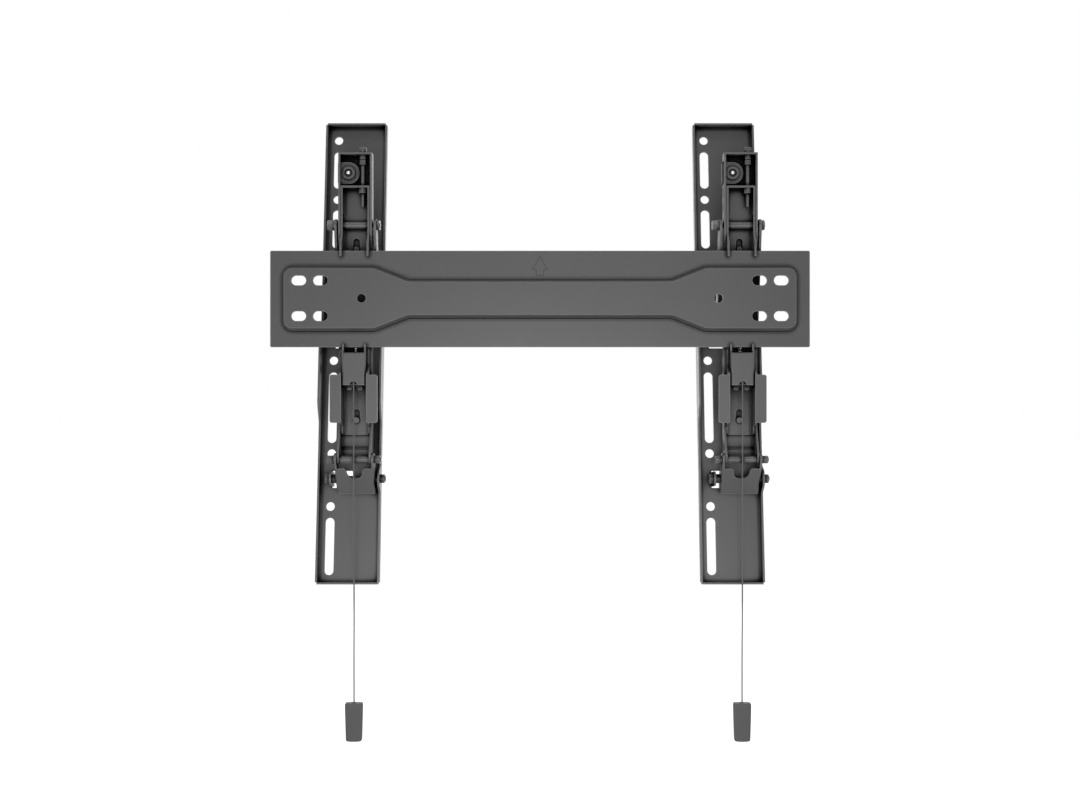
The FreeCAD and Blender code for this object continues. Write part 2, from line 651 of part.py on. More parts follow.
def flange_outline(u_top, u_bottom, ears):
    """Side outline (w, s) of a rail flange; ears is a list of (u, w) corners with radii."""
    start = [(RAIL_SHEET, -u_top), (-RAIL_FLANGE, -u_top)]
    end = [(-RAIL_FLANGE, -u_bottom), (RAIL_SHEET, -u_bottom)]
    return start + ears + end


def long_ear():
    """The deep part of both flanges, from behind the plate down to its rounded end."""
    return [(-RAIL_FLANGE, -EAR_TOP, 4), (-EAR_DEPTH, -EAR_FULL, 6), (-EAR_DEPTH, -EAR_SOFT, 9),
            (-RAIL_FLANGE - 3, -EAR_END + 5, 6), (-RAIL_FLANGE, -EAR_END, 2)]


def pivot_ear():
    """The rounded ear of the right flange around the rail pivot."""
    tip = -PIVOT_DEPTH - PIVOT_EAR_R
    u = RAIL_PIVOT_U
    return [(-RAIL_FLANGE, -u + PIVOT_EAR_FOOT, 4), (tip, -u + PIVOT_EAR_R, PIVOT_EAR_R - 0.5),
            (tip, -u - PIVOT_EAR_R, PIVOT_EAR_R - 0.5), (-RAIL_FLANGE, -u - PIVOT_EAR_FOOT, 4)]


def rail_lug(u):
    """A lug folded up out of the web, which holds a pivot on the side away from the ear."""
    tip = -PIVOT_DEPTH - LUG_HALF
    side = [(0.0, -u + LUG_HALF), (tip, -u + LUG_HALF, LUG_HALF - 0.05),
            (tip, -u - LUG_HALF, LUG_HALF - 0.05), (0.0, -u - LUG_HALF)]
    face = plate_yz(side, LUG_X, LUG_X + RAIL_SHEET)
    root = box(LUG_X - 0.6, LUG_X + RAIL_SHEET, -0.8, RAIL_SHEET, -u - LUG_HALF, -u + LUG_HALF)
    return face.fuse(root)


def rail_window(u):
    """Cutter for the web opening that the lug was folded from."""
    half = LUG_WINDOW_HEIGHT / 2
    low, high = LUG_X, LUG_X + LUG_WINDOW_WIDTH
    return plate_xz([(low, -u - half, 0.6), (high, -u - half, 1.5), (high, -u + half, 1.5), (low, -u + half, 0.6)],
                    -1, RAIL_SHEET + 1)


def rail_channel():
    """Web and both flanges of the rail, in the rail's own axes."""
    half, top = RAIL_WIDTH / 2, -RAIL_TOP_MARGIN
    bottom = SCREEN_HOLE_PITCH + RAIL_BOTTOM_MARGIN
    body = channel(RAIL_WIDTH, RAIL_SHEET, RAIL_BEND_R, 0.0, -EAR_DEPTH - 4, -bottom, -top)
    relief_top, relief_bottom = top + 2, bottom - 2
    middle = box(-half + RAIL_SHEET + 0.01, half - RAIL_SHEET - 0.01, -0.01, RAIL_SHEET, -bottom, -top)
    left = plate_yz(flange_outline(relief_top, relief_bottom, long_ear()), -half, -half + RAIL_BEND_R + 0.8)
    right = plate_yz(flange_outline(relief_top, relief_bottom, long_ear() + pivot_ear()),
                     half - RAIL_BEND_R - 0.8, half)
    return body.common(left.fuse(right).fuse(middle))


def end_flange(u, inward):
    """The short flange across an end of the rail; inward is +1 at the bottom and -1 on top."""
    half = RAIL_WIDTH / 2 - RAIL_END_RELIEF
    low, high = sorted((-u, -u + inward * RAIL_SHEET))
    corners = [(-half, low), (half, low), (half, high), (-half, high)]
    face = Part.Face(wire(corners, lambda x, s: V(x, -RAIL_FLANGE, s)))
    return face.extrude(V(0, RAIL_FLANGE + RAIL_SHEET, 0))


def tv_rail():
    top, bottom = -RAIL_TOP_MARGIN, SCREEN_HOLE_PITCH + RAIL_BOTTOM_MARGIN
    body = rail_channel().fuse(end_flange(top, -1)).fuse(end_flange(bottom, 1))
    for u in (LINK_PIVOT_U, RAIL_PIVOT_U):
        body = body.cut(rail_window(u)).fuse(rail_lug(u))
    for u in RAIL_HOLES:
        body = body.cut(rod_y(-1, RAIL_SHEET + 1, RAIL_HOLE_X, -u, RAIL_HOLE_R))
    for first, last in RAIL_SLOTS:
        body = body.cut(slot_y(RAIL_HOLE_X, -last, -first, RAIL_SLOT_WIDTH, -1, RAIL_SHEET + 1))
    for u, r in ((LINK_PIVOT_U, RIVET_R + OPEN_PIVOT_GAP), (RAIL_PIVOT_U, SHANK_R + RUN)):
        body = body.cut(rod_x(LUG_X - 3, LUG_X + 5, -PIVOT_DEPTH, -u, r))
        body = body.cut(rod_x(RAIL_WIDTH / 2 - 5, RAIL_WIDTH / 2 + 1, -PIVOT_DEPTH, -u, r))
    return lean(body.removeSplitter())


def lug_faces():
    """Outer and inner face of the lugs, as distances along X in the arm's frame."""
    return RAIL_OFFSET + LUG_X, RAIL_OFFSET + LUG_X + RAIL_SHEET


def ear_faces():
    """Inner and outer face of the right flange, as distances along X in the arm's frame."""
    return EAR_X, EAR_X + RAIL_SHEET


def rail_pivot_bolt():
    seat = lug_faces()[0] - FACE
    return pivot_bolt(rail_pivot(RAIL_PIVOT_U), LARGE_FLATS, seat - 4.4, seat, ear_faces()[1] + 6.0)


def rail_pivot_nut():
    seat = ear_faces()[1] + FACE
    return pivot_nut(rail_pivot(RAIL_PIVOT_U), SMALL_FLATS + 1, seat, seat + 4.8)


def rail_pivot_spacers():
    """Tubes that keep the lower link in the middle between the lug and the ear."""
    pivot, half = rail_pivot(RAIL_PIVOT_U), LOWER_LINK_WIDTH / 2 + FACE
    spans = ((lug_faces()[1] + 0.05, -half), (half, ear_faces()[0] - 0.05))
    return Part.makeCompound([tube_x(a, b, pivot, SHANK_R + 1.9, SHANK_R + 0.05) for a, b in spans])


# Upper links and their rivets

def upper_link(side):
    """A flat link outside the hanger from the upper pivot to the link pivot."""
    ya, za = UPPER_PIVOT
    yc, zc = rail_pivot(LINK_PIVOT_U)
    length = math.hypot(yc - ya, zc - za)
    r = LINK_END_R
    corners = [(-r, r, r - 0.01), (-r, -length - r, r - 0.01), (r, -length - r, r - 0.01), (r, r, r - 0.01)]
    low, high = sorted((side * LINK_X, side * link_outer()))
    body = plate_yz(corners, low, high)
    body = body.cut(rod_x(low - 1, high + 1, 0, 0, SHANK_R + RUN))
    body = body.cut(rod_x(low - 1, high + 1, 0, -length, RIVET_R))
    swing = math.degrees(math.atan2(yc - ya, za - zc))
    body.Placement = FreeCAD.Placement(V(0, ya, za), FreeCAD.Rotation(V(1, 0, 0), swing))
    return body


def link_rivets():
    """Shouldered rivets fixed in the links; they pass with clearance through lug and ear."""
    y, z = rail_pivot(LINK_PIVOT_U)
    outer = link_outer()
    far = (-lug_faces()[0], ear_faces()[1])
    near = (-lug_faces()[1], ear_faces()[0])
    solids = []
    for side, holder_far, holder_near in ((-1, far[0], near[0]), (1, far[1], near[1])):
        spans = ((LINK_X - RIVET_HEAD, LINK_X, RIVET_HEAD_R), (LINK_X, holder_far + FACE, RIVET_R),
                 (outer, holder_near - FACE, RIVET_COLLAR_R),
                 (holder_far + FACE, holder_far + FACE + RIVET_HEAD, RIVET_HEAD_R))
        parts = [rod_x(*sorted((side * a, side * b)), y, z, r) for a, b, r in spans]
        solids.append(parts[0].multiFuse(parts[1:]).removeSplitter())
    return Part.makeCompound(solids)


# Lower link

def lower_link():
    """A folded U between the lower pivot and the rail pivot, built upright and then turned."""
    yb, zb = LOWER_PIVOT
    ye, ze = rail_pivot(RAIL_PIVOT_U)
    length = math.hypot(ye - yb, ze - zb)
    r, front = LOWER_LINK_END_R, -LOWER_LINK_WEB
    top, bottom = -LOWER_LINK_TOP, -LOWER_LINK_TOP - LOWER_LINK_LENGTH
    half = LOWER_LINK_WIDTH / 2
    inner = half - LOWER_LINK_SHEET
    bend = LOWER_LINK_SHEET + 0.6
    section = [(-half, r), (-half, front, bend), (half, front, bend), (half, r), (inner, r),
               (inner, front + LOWER_LINK_SHEET, 0.6), (-inner, front + LOWER_LINK_SHEET, 0.6), (-inner, r)]
    body = plate_xy(section, bottom, r)
    side = [(-r, r, r - 0.01), (-r, top + 2.0, 2), (front, top, 1), (front, bottom), (front + 8, bottom, 5),
            (r, -length - r, r - 0.01), (r, r, r - 0.01)]
    body = body.common(plate_yz(side, -half - 1, half + 1))
    body = body.cut(notch(top, front))
    for z in (0.0, -length):
        body = body.cut(rod_x(-half - 1, half + 1, 0, z, SHANK_R + RUN))
    swing = math.degrees(math.atan2(ye - yb, zb - ze))
    body.Placement = FreeCAD.Placement(V(0, yb, zb), FreeCAD.Rotation(V(1, 0, 0), swing))
    return body


def notch(top, front):
    """Cutter for the round-bottomed notch in the top edge of the lower link's web."""
    half, r = NOTCH_WIDTH / 2, NOTCH_WIDTH / 2 - 1.4
    wide, high = LOWER_LINK_WIDTH / 2 - LOWER_LINK_SHEET, LOWER_LINK_END_R + 1
    corners = [(-wide, high), (-wide, top), (-half - 0.5, top, 3.5), (-half + 0.5, top - NOTCH_DEPTH, r),
               (half - 0.5, top - NOTCH_DEPTH, r), (half + 0.5, top, 3.5), (wide, top), (wide, high)]
    return plate_xz(corners, front - 1, front + LOWER_LINK_SHEET + 0.7)


# Latch, spring, pins, cord and handle

def latch_section():
    """The latch is a U in plan: its front faces the wall and its walls go towards the web."""
    half, front = LATCH_WIDTH / 2, LATCH_Y
    inner, back = half - LATCH_SHEET, LATCH_Y + LATCH_DEPTH
    corners = [(-half, back), (-half, front, 2), (half, front, 2), (half, back), (inner, back),
               (inner, front + LATCH_SHEET, 0.5), (-inner, front + LATCH_SHEET, 0.5), (-inner, back)]
    return plate_xy(corners, LATCH_BOTTOM, -PLATE_TOP + LATCH_HOOK_RISE)


def latch_side():
    """Side outline (y, z) of the latch's walls, with the hook that grips the plate's edge."""
    front, back = LATCH_Y, LATCH_Y + LATCH_DEPTH
    tip = -PLATE_TOP + LATCH_HOOK_RISE
    inside = PLATE_FRONT - SLIDE
    return [(front, LATCH_BOTTOM), (front, LATCH_TOP), (HOOK_NOSE_Y, LATCH_TOP + 3, 1.5),
            (HOOK_NOSE_Y, tip, 1.2), (inside, tip, 0.6), (inside, LATCH_TOP + 2.5, 1),
            (back, LATCH_TOP + 2.5, 3), (back, LATCH_BOTTOM, 3)]


def latch():
    body = latch_section().common(plate_yz(latch_side(), -LATCH_WIDTH, LATCH_WIDTH))
    inner = LATCH_WIDTH / 2 - LATCH_SHEET
    shelf = box(-inner - 0.4, inner + 0.4, SPRING_Y - 2.0, LATCH_Y + LATCH_DEPTH,
                SPRING_SHELF_Z - LATCH_SHEET, SPRING_SHELF_Z)
    floor = box(-LIP_HALF_WIDTH, LIP_HALF_WIDTH, LATCH_Y + 0.5, LIP_Y + LATCH_SHEET,
                LATCH_BOTTOM, LATCH_BOTTOM + LATCH_SHEET)
    lip = plate_xz([(-LIP_HALF_WIDTH, LATCH_BOTTOM + LATCH_SHEET), (-LIP_HALF_WIDTH, LIP_BOTTOM, 1.5),
                    (LIP_HALF_WIDTH, LIP_BOTTOM, 1.5), (LIP_HALF_WIDTH, LATCH_BOTTOM + LATCH_SHEET)],
                   LIP_Y, LIP_Y + LATCH_SHEET)
    body = body.multiFuse([shelf, floor, lip])
    body = body.cut(rod_y(LATCH_Y - 1, LATCH_Y + LATCH_SHEET + 0.01, 0, LATCH_BOTTOM, LATCH_ARCH_R))
    body = body.cut(rod_y(LIP_Y - 1, LIP_Y + LATCH_SHEET + 1, 0, LIP_BOTTOM, LATCH_ARCH_R - 0.6))
    body = body.cut(rod_z(LATCH_BOTTOM - 1, LATCH_BOTTOM + 3, 0, CORD_Y, CORD_R + 0.25))
    body = body.cut(rod_z(SPRING_SHELF_Z - 3, SPRING_SHELF_Z + 1, 0, SPRING_Y, SPRING_WIRE_R + 0.2))
    for z in LATCH_PIN_ZS:
        body = body.cut(pin_slot(z))
    return body.removeSplitter()


def pin_slot(z):
    """Cutter for the slots by which the latch runs on a pin."""
    y, r = LATCH_PIN_Y, LATCH_PIN_R + 0.2
    corners = [(y - r, z - r, r - 0.01), (y + r, z - r, r - 0.01),
               (y + r, z + LATCH_TRAVEL + r, r - 0.01), (y - r, z + LATCH_TRAVEL + r, r - 0.01)]
    return plate_yz(corners, -LATCH_WIDTH, LATCH_WIDTH)


def latch_pins():
    half = HOOK_WIDTH / 2
    return Part.makeCompound([rod_x(-half, half, LATCH_PIN_Y, z, LATCH_PIN_R) for z in LATCH_PIN_ZS])


def latch_spring():
    """A closed-wound tension spring with a straight tail at each end."""
    low = SPRING_SHELF_Z + 0.6
    height = SPRING_TOP - 1.5 - low
    helix = Part.makeHelix(height / SPRING_TURNS, height, SPRING_R)
    ring = Part.Wire(Part.makeCircle(SPRING_WIRE_R, V(SPRING_R, 0, 0), V(0, 1, 0)))
    coil = helix.makePipeShell([ring], True, True)
    coil.translate(V(0, SPRING_Y, low))
    return coil


def pull_cord():
    """The cord hangs behind the lower link and leans out to the handle, which rests on the wall."""
    turn, end = V(0, CORD_Y, CORD_LEAN_FROM), V(0, HANDLE_Y, CORD_END)
    lean_part = Part.makeCylinder(CORD_R, (end - turn).Length, turn, end - turn)
    upright = rod_z(CORD_LEAN_FROM, LATCH_BOTTOM + LATCH_SHEET + 0.6, 0, CORD_Y, CORD_R)
    return upright.fuse(Part.makeSphere(CORD_R, turn)).fuse(lean_part).removeSplitter()


def cord_knot():
    """The knot that holds the cord on the latch's floor."""
    z = LATCH_BOTTOM + LATCH_SHEET + 0.05
    ball = Part.makeSphere(KNOT_R, V(0, CORD_Y, z + KNOT_R * 0.6))
    ball = ball.common(box(-5, 5, CORD_Y - 5, CORD_Y + 5, z, z + 5))
    return ball.cut(rod_z(z - 1, LATCH_BOTTOM + LATCH_SHEET + 0.6, 0, CORD_Y, CORD_R))


def pull_handle():
    """A tapered grip with soft edges and a slightly hollow lower end."""
    low = HANDLE_TOP - HANDLE_LENGTH
    wires = []
    for z, width, depth in ((HANDLE_TOP, HANDLE_TOP_WIDTH, HANDLE_TOP_DEPTH),
                            (low, HANDLE_BOTTOM_WIDTH, HANDLE_BOTTOM_DEPTH)):
        a, b, r = width / 2, depth / 2, HANDLE_EDGE
        corners = [(-a, -b, r), (a, -b, r), (a, b, r), (-a, b, r)]
        wires.append(wire(corners, lambda x, y, z=z: V(x, HANDLE_Y + y, z)))
    body = Part.makeLoft(wires, True, True)
    body = body.makeFillet(0.9, [e for e in body.Edges if e.BoundBox.ZMin > HANDLE_TOP - 0.01])
    sag = 0.8
    r = (HANDLE_BOTTOM_WIDTH ** 2 / 4 + sag ** 2) / (2 * sag)
    body = body.cut(rod_y(HANDLE_Y - 10, HANDLE_Y + 10, 0, low + sag - r, r))
    return body.cut(rod_z(CORD_END - 0.1, HANDLE_TOP + 1, 0, HANDLE_Y, CORD_R + 0.05))


PIECES = {
    "hook_channel": hook_channel,
    "level_nut": level_nut,
    "latch": latch,
    "latch_spring": latch_spring,
    "latch_pins": latch_pins,
    "pull_cord": pull_cord,
    "cord_knot": cord_knot,
    "pull_handle": pull_handle,
    "hanger": hanger,
    "guide_rivets": guide_rivets,
    "level_bolt": level_bolt,
    "level_collars": level_collars,
    "tongue_plate": tongue_plate,
    "tongue_nut": tongue_nut,
    "tongue_stud": tongue_stud,
    "upper_pivot_bolt": upper_pivot_bolt,
    "upper_pivot_nut": upper_pivot_nut,
    "upper_pivot_sleeve": upper_pivot_sleeve,
    "upper_link_head_side": lambda: upper_link(-1),
    "upper_link_nut_side": lambda: upper_link(1),
    "link_rivets": link_rivets,
    "lower_pivot_bolt": lower_pivot_bolt,
    "lower_pivot_nut": lower_pivot_nut,
    "lower_pivot_sleeve": lower_pivot_sleeve,
    "lower_link": lower_link,
    "rail_pivot_bolt": rail_pivot_bolt,
    "rail_pivot_nut": rail_pivot_nut,
    "rail_pivot_spacers": rail_pivot_spacers,
    "tv_rail": tv_rail,
}


def save(shape, name):
    shape.exportStep(os.path.join("parts", name + ".step"))


def main():
    os.makedirs("parts", exist_ok=True)
    save(wall_plate(), "wall_plate")
    arms = (("left", LEFT_ARM_X), ("right", LEFT_ARM_X + SCREEN_HOLE_PITCH))
    for name, build in PIECES.items():
        piece = build()
        for side, x in arms:
            placed = piece.copy()
            placed.translate(V(x, 0, 0))
            save(placed, side + "_" + name)


main()
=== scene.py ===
"""Looks of the tilting wall bracket: finishes, cords, threads, and a pale studio."""
import json
import math

import bpy
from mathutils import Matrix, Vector


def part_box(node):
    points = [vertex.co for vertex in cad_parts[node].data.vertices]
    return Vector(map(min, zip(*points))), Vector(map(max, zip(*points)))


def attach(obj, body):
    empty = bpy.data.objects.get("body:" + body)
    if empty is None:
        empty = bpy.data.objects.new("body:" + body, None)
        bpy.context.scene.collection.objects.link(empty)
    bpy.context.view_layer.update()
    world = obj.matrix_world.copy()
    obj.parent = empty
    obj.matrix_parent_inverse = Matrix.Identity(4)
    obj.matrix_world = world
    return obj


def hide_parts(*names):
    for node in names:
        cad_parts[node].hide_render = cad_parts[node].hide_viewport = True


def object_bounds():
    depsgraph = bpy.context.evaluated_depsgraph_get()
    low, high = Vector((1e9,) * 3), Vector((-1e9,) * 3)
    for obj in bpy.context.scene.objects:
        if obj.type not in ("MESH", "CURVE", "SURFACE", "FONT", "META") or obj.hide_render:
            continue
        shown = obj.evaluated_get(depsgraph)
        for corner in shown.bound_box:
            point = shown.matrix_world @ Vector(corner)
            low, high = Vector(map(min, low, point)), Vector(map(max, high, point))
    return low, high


MM = 0.001
SIDES = ("left", "right")
WHITE = (1.0, 1.0, 1.0, 1.0)

# Camera, from the photograph's perspective
CAMERA_AT = (0.0, -1.180, -0.10965)
FOCAL_PIXELS = 1149.0
FRAME_WIDTH = 1080.0
SENSOR_WIDTH = 36.0
NEAR_CLIP = 0.01
FAR_CLIP = 100.0

# Studio: metres, watts, and spreads in degrees
FLOOR_DROP = 0.10
FLOOR_SIZE = 24.0
FLOOR_GLOW = 0.85
BACKDROP_FROM = 0.72
BACKDROP_FULL = 0.90
ROOM_LIGHT = 0.12
FRONT_WATTS = 3.5
FRONT_SPREAD = 130.0
FULL_SPREAD = 180.0
TOP_WATTS = 2.6
SIDE_WATTS = 0.8
REAR_WATTS = 6.0

# Finishes: linear grey values and roughness
POWDER_GREY = 0.082
POWDER_ROUGHNESS = 0.42
POWDER_GRAIN_SCALE = 2600.0
BLACK_ZINC_GREY = 0.095
STEEL_GREY = 0.62
GRIP_GREY = 0.070
CORD_GREY = 0.16
BRAID_LEAN = 40.0
NOISE_ROUGHNESS = 0.55
RAMP_ENDS = (0.3, 0.7)
BEVEL_SAMPLES = 4

# Painted shade in recesses and corners, and painted highlights along outer edges: how far they
# reach in metres, and the share of open sky where they begin and end
OPEN_SAMPLES = 14
RECESS_REACH = 0.024
RECESS_SHARES = (0.42, 0.60)
CORNER_REACH = 0.0045
CORNER_SHARES = (0.84, 0.97)
DARKEST = 0.02
SPECULAR = 0.5
EDGE_SAMPLES = 4
EDGE_SHARES = (0.70, 0.97)
EDGE_REACH = 0.0010
PAINTED_EDGE_HIGHLIGHT = 2.3
PLATED_EDGE_REACH = 0.0007
PLATED_PAINTED_HIGHLIGHT = 2.2

# Cord: its route in mm, for an arm whose middle is at x = 0
CORD_DIAMETER = 1.5
CORD_POINTS = ((0.0, 2.0, -87.1), (0.2, 2.0, -122.0), (0.0, 2.05, -170.0), (-0.2, 2.5, -222.0),
               (0.1, 3.2, -275.0), (0.2, 3.9, -325.0), (-0.1, 4.4, -372.0), (0.0, 4.6, -417.5))

# Knot, in mm: its strand's radius, its room at the sides and its rise; mean and swing are shares
KNOT_STRAND = 0.6
KNOT_ROOM = 0.62
KNOT_MEAN = 0.62
KNOT_SWING = 0.38
KNOT_RISE = 0.42
KNOT_POINTS = 24

# Grip: height, width and depth of each level, as shares of the plain handle's
GRIP_LEVELS = ((0.0, 0.70, 0.62), (0.0, 0.86, 0.86), (0.035, 0.905, 0.83), (0.12, 0.915, 0.835),
               (0.5, 0.955, 0.91), (0.9, 0.995, 0.99), (0.965, 1.0, 1.0), (1.0, 0.955, 0.93),
               (1.0, 0.80, 0.75), (1.0, 0.16, 0.22), (0.97, 0.11, 0.2))
GRIP_STEPS = 40
GRIP_POWER = 0.26
CROWN_BELOW = 0.1
CROWN_RISE = 0.9

# Arrow that shows which way up the plate goes, in mm
ARROW_TIP = 45.2
ARROW_SHOULDER = 30.0
ARROW_FOOT = 23.9
ARROW_HALF_HEAD = 8.1
ARROW_HALF_STEM = 4.15
ARROW_LINE = 0.7
ARROW_DEPTH = 0.06

# Threads: radii, pitches, gaps, crest and root in mm
LEVEL_SHANK = 1.95
PIVOT_SHANK = 2.9
ABOVE_LEVEL_NUT = 2.4
THREAD_GAP = 0.3
LEVEL_BOLT_TIP = 0.7
PIVOT_BOLT_TIP = 0.5
SHORTEST_SHOWN = 0.6
THREAD_STEPS = 20
ROWS_PER_PITCH = 4
FEWEST_ROWS = 8
FINE_PITCH = 0.7
COARSE_PITCH = 1.0
THREAD_CREST = 0.06
THREAD_ROOT = 0.12


# Small helpers

def new_object(name, mesh):
    obj = bpy.data.objects.new(name, mesh)
    bpy.context.scene.collection.objects.link(obj)
    return obj


def mesh_object(name, points, faces, smooth=True):
    mesh = bpy.data.meshes.new(name)
    mesh.from_pydata([tuple(c * MM for c in p) for p in points], [], faces)
    mesh.validate()
    for polygon in mesh.polygons:
        polygon.use_smooth = smooth
    return new_object(name, mesh)


def middle(node):
    low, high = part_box(node)
    return (low + high) / 2


def arm_x(side):
    """X of an arm's middle, in mm, from its hanger, which is symmetric."""
    return middle(side + "_hanger").x / MM


# Materials

class Nodes:
    """A material with its shader, and short ways to add and join nodes."""

    def __init__(self, name):
        self.material = bpy.data.materials.new(name)
        self.material.use_nodes = True
        self.tree = self.material.node_tree
        self.shader = self.tree.nodes["Principled BSDF"]
        coordinates = self.add("ShaderNodeTexCoord")
        self.place = coordinates.outputs["Object"]

    def add(self, kind, **values):
        node = self.tree.nodes.new(kind)
        for key, value in values.items():
            if key in node.inputs:
                node.inputs[key].default_value = value
            else:
                setattr(node, key, value)
        return node

    def join(self, source, target):
        self.tree.links.new(source, target)

    def feed(self, socket, source):
        """Joins a source to one of the shader's own sockets."""
        self.join(source, self.shader.inputs[socket])

    def hold(self, socket, value):
        """Sets a constant on one of the shader's own sockets."""
        self.shader.inputs[socket].default_value = value

    def noise(self, scale, detail, stretch=None):
        place = self.place
        if stretch:
            mapping = self.add("ShaderNodeMapping")
            mapping.inputs["Scale"].default_value = stretch
            self.join(place, mapping.inputs["Vector"])
            place = mapping.outputs["Vector"]
        node = self.add("ShaderNodeTexNoise", Scale=scale, Detail=detail,
                        Roughness=NOISE_ROUGHNESS)
        self.join(place, node.inputs["Vector"])
        return node.outputs["Fac"]

    def ramp(self, source, low, high):
        """A step from one grey to another, over the middle of the source's range."""
        node = self.add("ShaderNodeValToRGB")
        elements = node.color_ramp.elements
        for element, value, position in zip(elements, (low, high), RAMP_ENDS):
            element.color = (value, value, value, 1.0)
            element.position = position
        self.join(source, node.inputs["Fac"])
        return node.outputs["Color"]

    def mottled(self, source, grey, low, high):
        """A grey that varies between low and high times its value."""
        return self.ramp(source, grey * low, grey * high)

    def bump(self, height, strength, distance, before=None):
        node = self.add("ShaderNodeBump", Strength=strength, Distance=distance)
        self.join(height, node.inputs["Height"])
        if before is not None:
            self.join(before, node.inputs["Normal"])
        return node.outputs["Normal"]

    def spread(self, source, low, high, at_low, at_high):
        """Takes low...high to at_low...at_high, and holds the ends."""
        node = self.add("ShaderNodeMapRange")
        for key, value in (("From Min", low), ("From Max", high),
                           ("To Min", at_low), ("To Max", at_high)):
            node.inputs[key].default_value = value
        self.join(source, node.inputs["Value"])
        return node.outputs["Result"]

    def openness(self, reach):
        """1 on open faces, towards 0 in corners and recesses within reach."""
        node = self.add("ShaderNodeAmbientOcclusion", samples=OPEN_SAMPLES)
        node.inputs["Distance"].default_value = reach
        return node.outputs["AO"]

    def flatness(self, reach):
        """1 on flat faces, towards 0.5 at edges within reach."""
        node = self.add("ShaderNodeAmbientOcclusion", samples=EDGE_SAMPLES, inside=True,
                        only_local=True)
        node.inputs["Distance"].default_value = reach
        return node.outputs["AO"]

    def painted_shade(self, paint):
        """The paint with painted shade: darker deep in a recess and in corners, where little light
        gets, and with its specular lowered there too.
        """
        depth = self.spread(self.openness(RECESS_REACH), *RECESS_SHARES, DARKEST, 1.0)
        corner = self.spread(self.openness(CORNER_REACH), *CORNER_SHARES, DARKEST, 1.0)
        self.feed("Specular IOR Level", self.spread(depth, 0.0, 1.0, DARKEST, SPECULAR))
        return self.times(self.times(paint, depth), corner)

    def painted_highlight(self, paint, reach, light):
        """The paint with painted highlights: lighter along outer edges, where the coat would catch
        the light.
        """
        return self.times(paint, self.spread(self.flatness(reach), *EDGE_SHARES, light, 1.0))

    def times(self, source, factor):
        """A colour made darker or lighter by a factor."""
        node = self.add("ShaderNodeVectorMath", operation="SCALE")
        self.join(source, node.inputs[0])
        self.join(factor, node.inputs["Scale"])
        return node.outputs["Vector"]

    def soft_edges(self, radius):
        node = self.add("ShaderNodeBevel", samples=BEVEL_SAMPLES)
        node.inputs["Radius"].default_value = radius
        return node.outputs["Normal"]


def powder_coat():
    """Fine matt powder coat: a little orange peel, a finer grain, slightly mottled gloss, painted
    shade in recesses and corners, and painted highlights along outer edges.
    """
    m = Nodes("powder_coat")
    cloud = m.noise(scale=9.0, detail=4.0)
    grain = m.noise(scale=POWDER_GRAIN_SCALE, detail=2.0)
    peel = m.noise(scale=750.0, detail=2.0)
    paint = m.mottled(cloud, POWDER_GREY, low=0.94, high=1.06)
    # Base colour: the mottled grey with painted shade in recesses and corners and painted
    # highlights along outer edges
    m.feed("Base Color", m.painted_highlight(m.painted_shade(paint), EDGE_REACH, PAINTED_EDGE_HIGHLIGHT))
    m.feed("Roughness", m.ramp(grain, POWDER_ROUGHNESS - 0.05, POWDER_ROUGHNESS + 0.07))
    edges = m.soft_edges(radius=0.35 * MM)
    peeled = m.bump(peel, strength=0.10, distance=0.10 * MM, before=edges)
    m.feed("Normal", m.bump(grain, strength=0.08, distance=0.05 * MM, before=peeled))
    return m.material


def black_zinc():
    """Black plated fasteners: smoother than the coat, with faint turning marks, painted shade in
    recesses and corners, and painted highlights along edges.
    """
    m = Nodes("black_zinc")
    marks = m.noise(scale=180.0, detail=2.0, stretch=(14.0, 1.0, 1.0))
    cloud = m.noise(scale=60.0, detail=3.0)
    plating = m.mottled(cloud, BLACK_ZINC_GREY, low=0.85, high=1.2)
    # Base colour: the mottled plating with painted shade in recesses and corners and painted
    # highlights along edges
    m.feed("Base Color", m.painted_highlight(m.painted_shade(plating), PLATED_EDGE_REACH, PLATED_PAINTED_HIGHLIGHT))
    m.feed("Roughness", m.ramp(marks, low=0.26, high=0.40))
    edges = m.soft_edges(radius=0.25 * MM)
    m.feed("Normal", m.bump(marks, strength=0.12, distance=0.04 * MM, before=edges))
    m.hold("Metallic", 0.35)
    return m.material


def bright_zinc():
    """Bright plated steel, clean and glossy."""
    m = Nodes("bright_zinc")
    cloud = m.noise(scale=220.0, detail=3.0)
    m.feed("Base Color", m.mottled(cloud, STEEL_GREY, low=0.9, high=1.0))
    m.feed("Roughness", m.ramp(cloud, low=0.16, high=0.26))
    m.feed("Normal", m.soft_edges(radius=0.2 * MM))
    m.hold("Metallic", 1.0)
    return m.material


def moulded_grip():
    """Dark moulded plastic with a fine spark-eroded grain."""
    m = Nodes("moulded_grip")
    grain = m.noise(scale=3200.0, detail=2.0)
    cloud = m.noise(scale=45.0, detail=3.0)
    m.feed("Base Color", m.mottled(cloud, GRIP_GREY, low=0.95, high=1.05))
    m.feed("Roughness", m.ramp(grain, low=0.48, high=0.6))
    m.feed("Normal", m.bump(grain, strength=0.15, distance=0.04 * MM))
    return m.material


